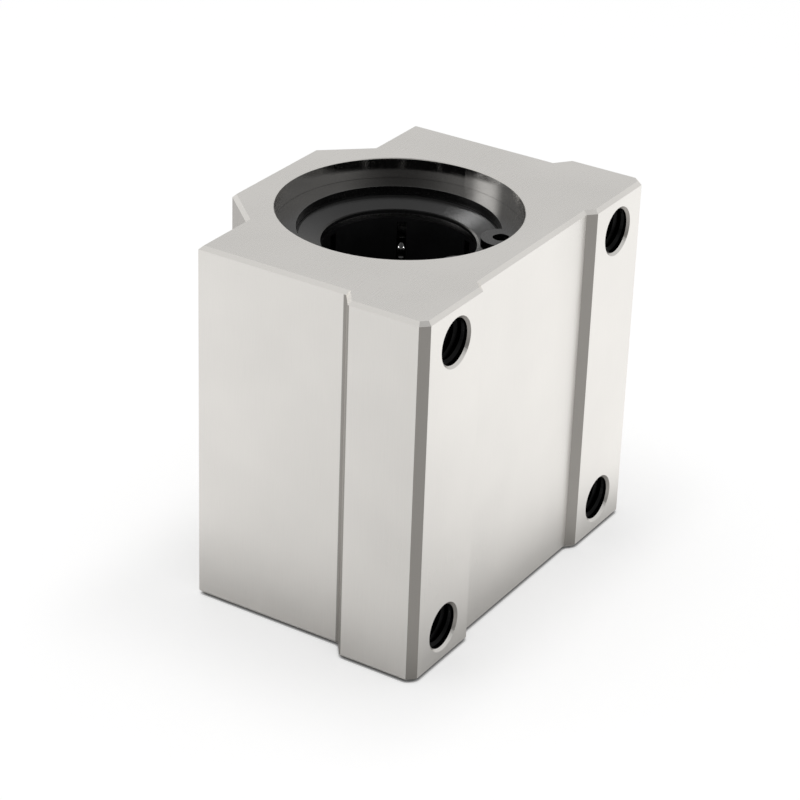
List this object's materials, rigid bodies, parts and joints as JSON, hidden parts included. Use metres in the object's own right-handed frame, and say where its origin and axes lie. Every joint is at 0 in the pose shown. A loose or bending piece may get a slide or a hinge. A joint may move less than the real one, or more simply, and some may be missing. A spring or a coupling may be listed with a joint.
{
  "type": "linear bearing block",
  "caption": "Rectangular aluminium block with a closed ball bush that guides a 20 mm round shaft, bolted down by its flanged mounting face.",
  "frame": {"origin": "middle of the shaft bore, on its axis and half way along the block", "axes": "+Z along the shaft bore, -Y out of the mounting face, +X across the block"},
  "size_m": [0.054, 0.0405, 0.05],
  "materials": {
    "machined_aluminium": "fine matt, silver",
    "bearing_steel": "ground",
    "spring_steel": "blackened and oiled",
    "ball_steel": "polished",
    "seal_rubber": "satin",
    "cage_plastic": "moulded, black"
  },
  "bodies": {
    "block": {"housing": "machined_aluminium", "outer_cylinder": "bearing_steel", "ball_retainer": "cage_plastic", "side_ring_top": "bearing_steel", "side_ring_bottom": "bearing_steel", "end_seal_top": "seal_rubber", "end_seal_bottom": "seal_rubber", "retaining_ring_top": "spring_steel", "retaining_ring_bottom": "spring_steel"},
    "ball_row_1": {"ball_row_1": "ball_steel"},
    "ball_row_2": {"ball_row_2": "ball_steel"},
    "ball_row_3": {"ball_row_3": "ball_steel"},
    "ball_row_4": {"ball_row_4": "ball_steel"},
    "ball_row_5": {"ball_row_5": "ball_steel"},
    "ball_row_6": {"ball_row_6": "ball_steel"}
  },
  "joints": [
    {"name": "ball_row_1_slide", "type": "slide", "parent": "block", "child": "ball_row_1", "axis": [0, 0, 1], "range_m": [-0.00279, 0.00279]},
    {"name": "ball_row_2_slide", "type": "slide", "parent": "block", "child": "ball_row_2", "axis": [0, 0, 1], "range_m": [-0.00279, 0.00279]},
    {"name": "ball_row_3_slide", "type": "slide", "parent": "block", "child": "ball_row_3", "axis": [0, 0, 1], "range_m": [-0.00279, 0.00279]},
    {"name": "ball_row_4_slide", "type": "slide", "parent": "block", "child": "ball_row_4", "axis": [0, 0, 1], "range_m": [-0.00279, 0.00279]},
    {"name": "ball_row_5_slide", "type": "slide", "parent": "block", "child": "ball_row_5", "axis": [0, 0, 1], "range_m": [-0.00279, 0.00279]},
    {"name": "ball_row_6_slide", "type": "slide", "parent": "block", "child": "ball_row_6", "axis": [0, 0, 1], "range_m": [-0.00279, 0.00279]}
  ]
}
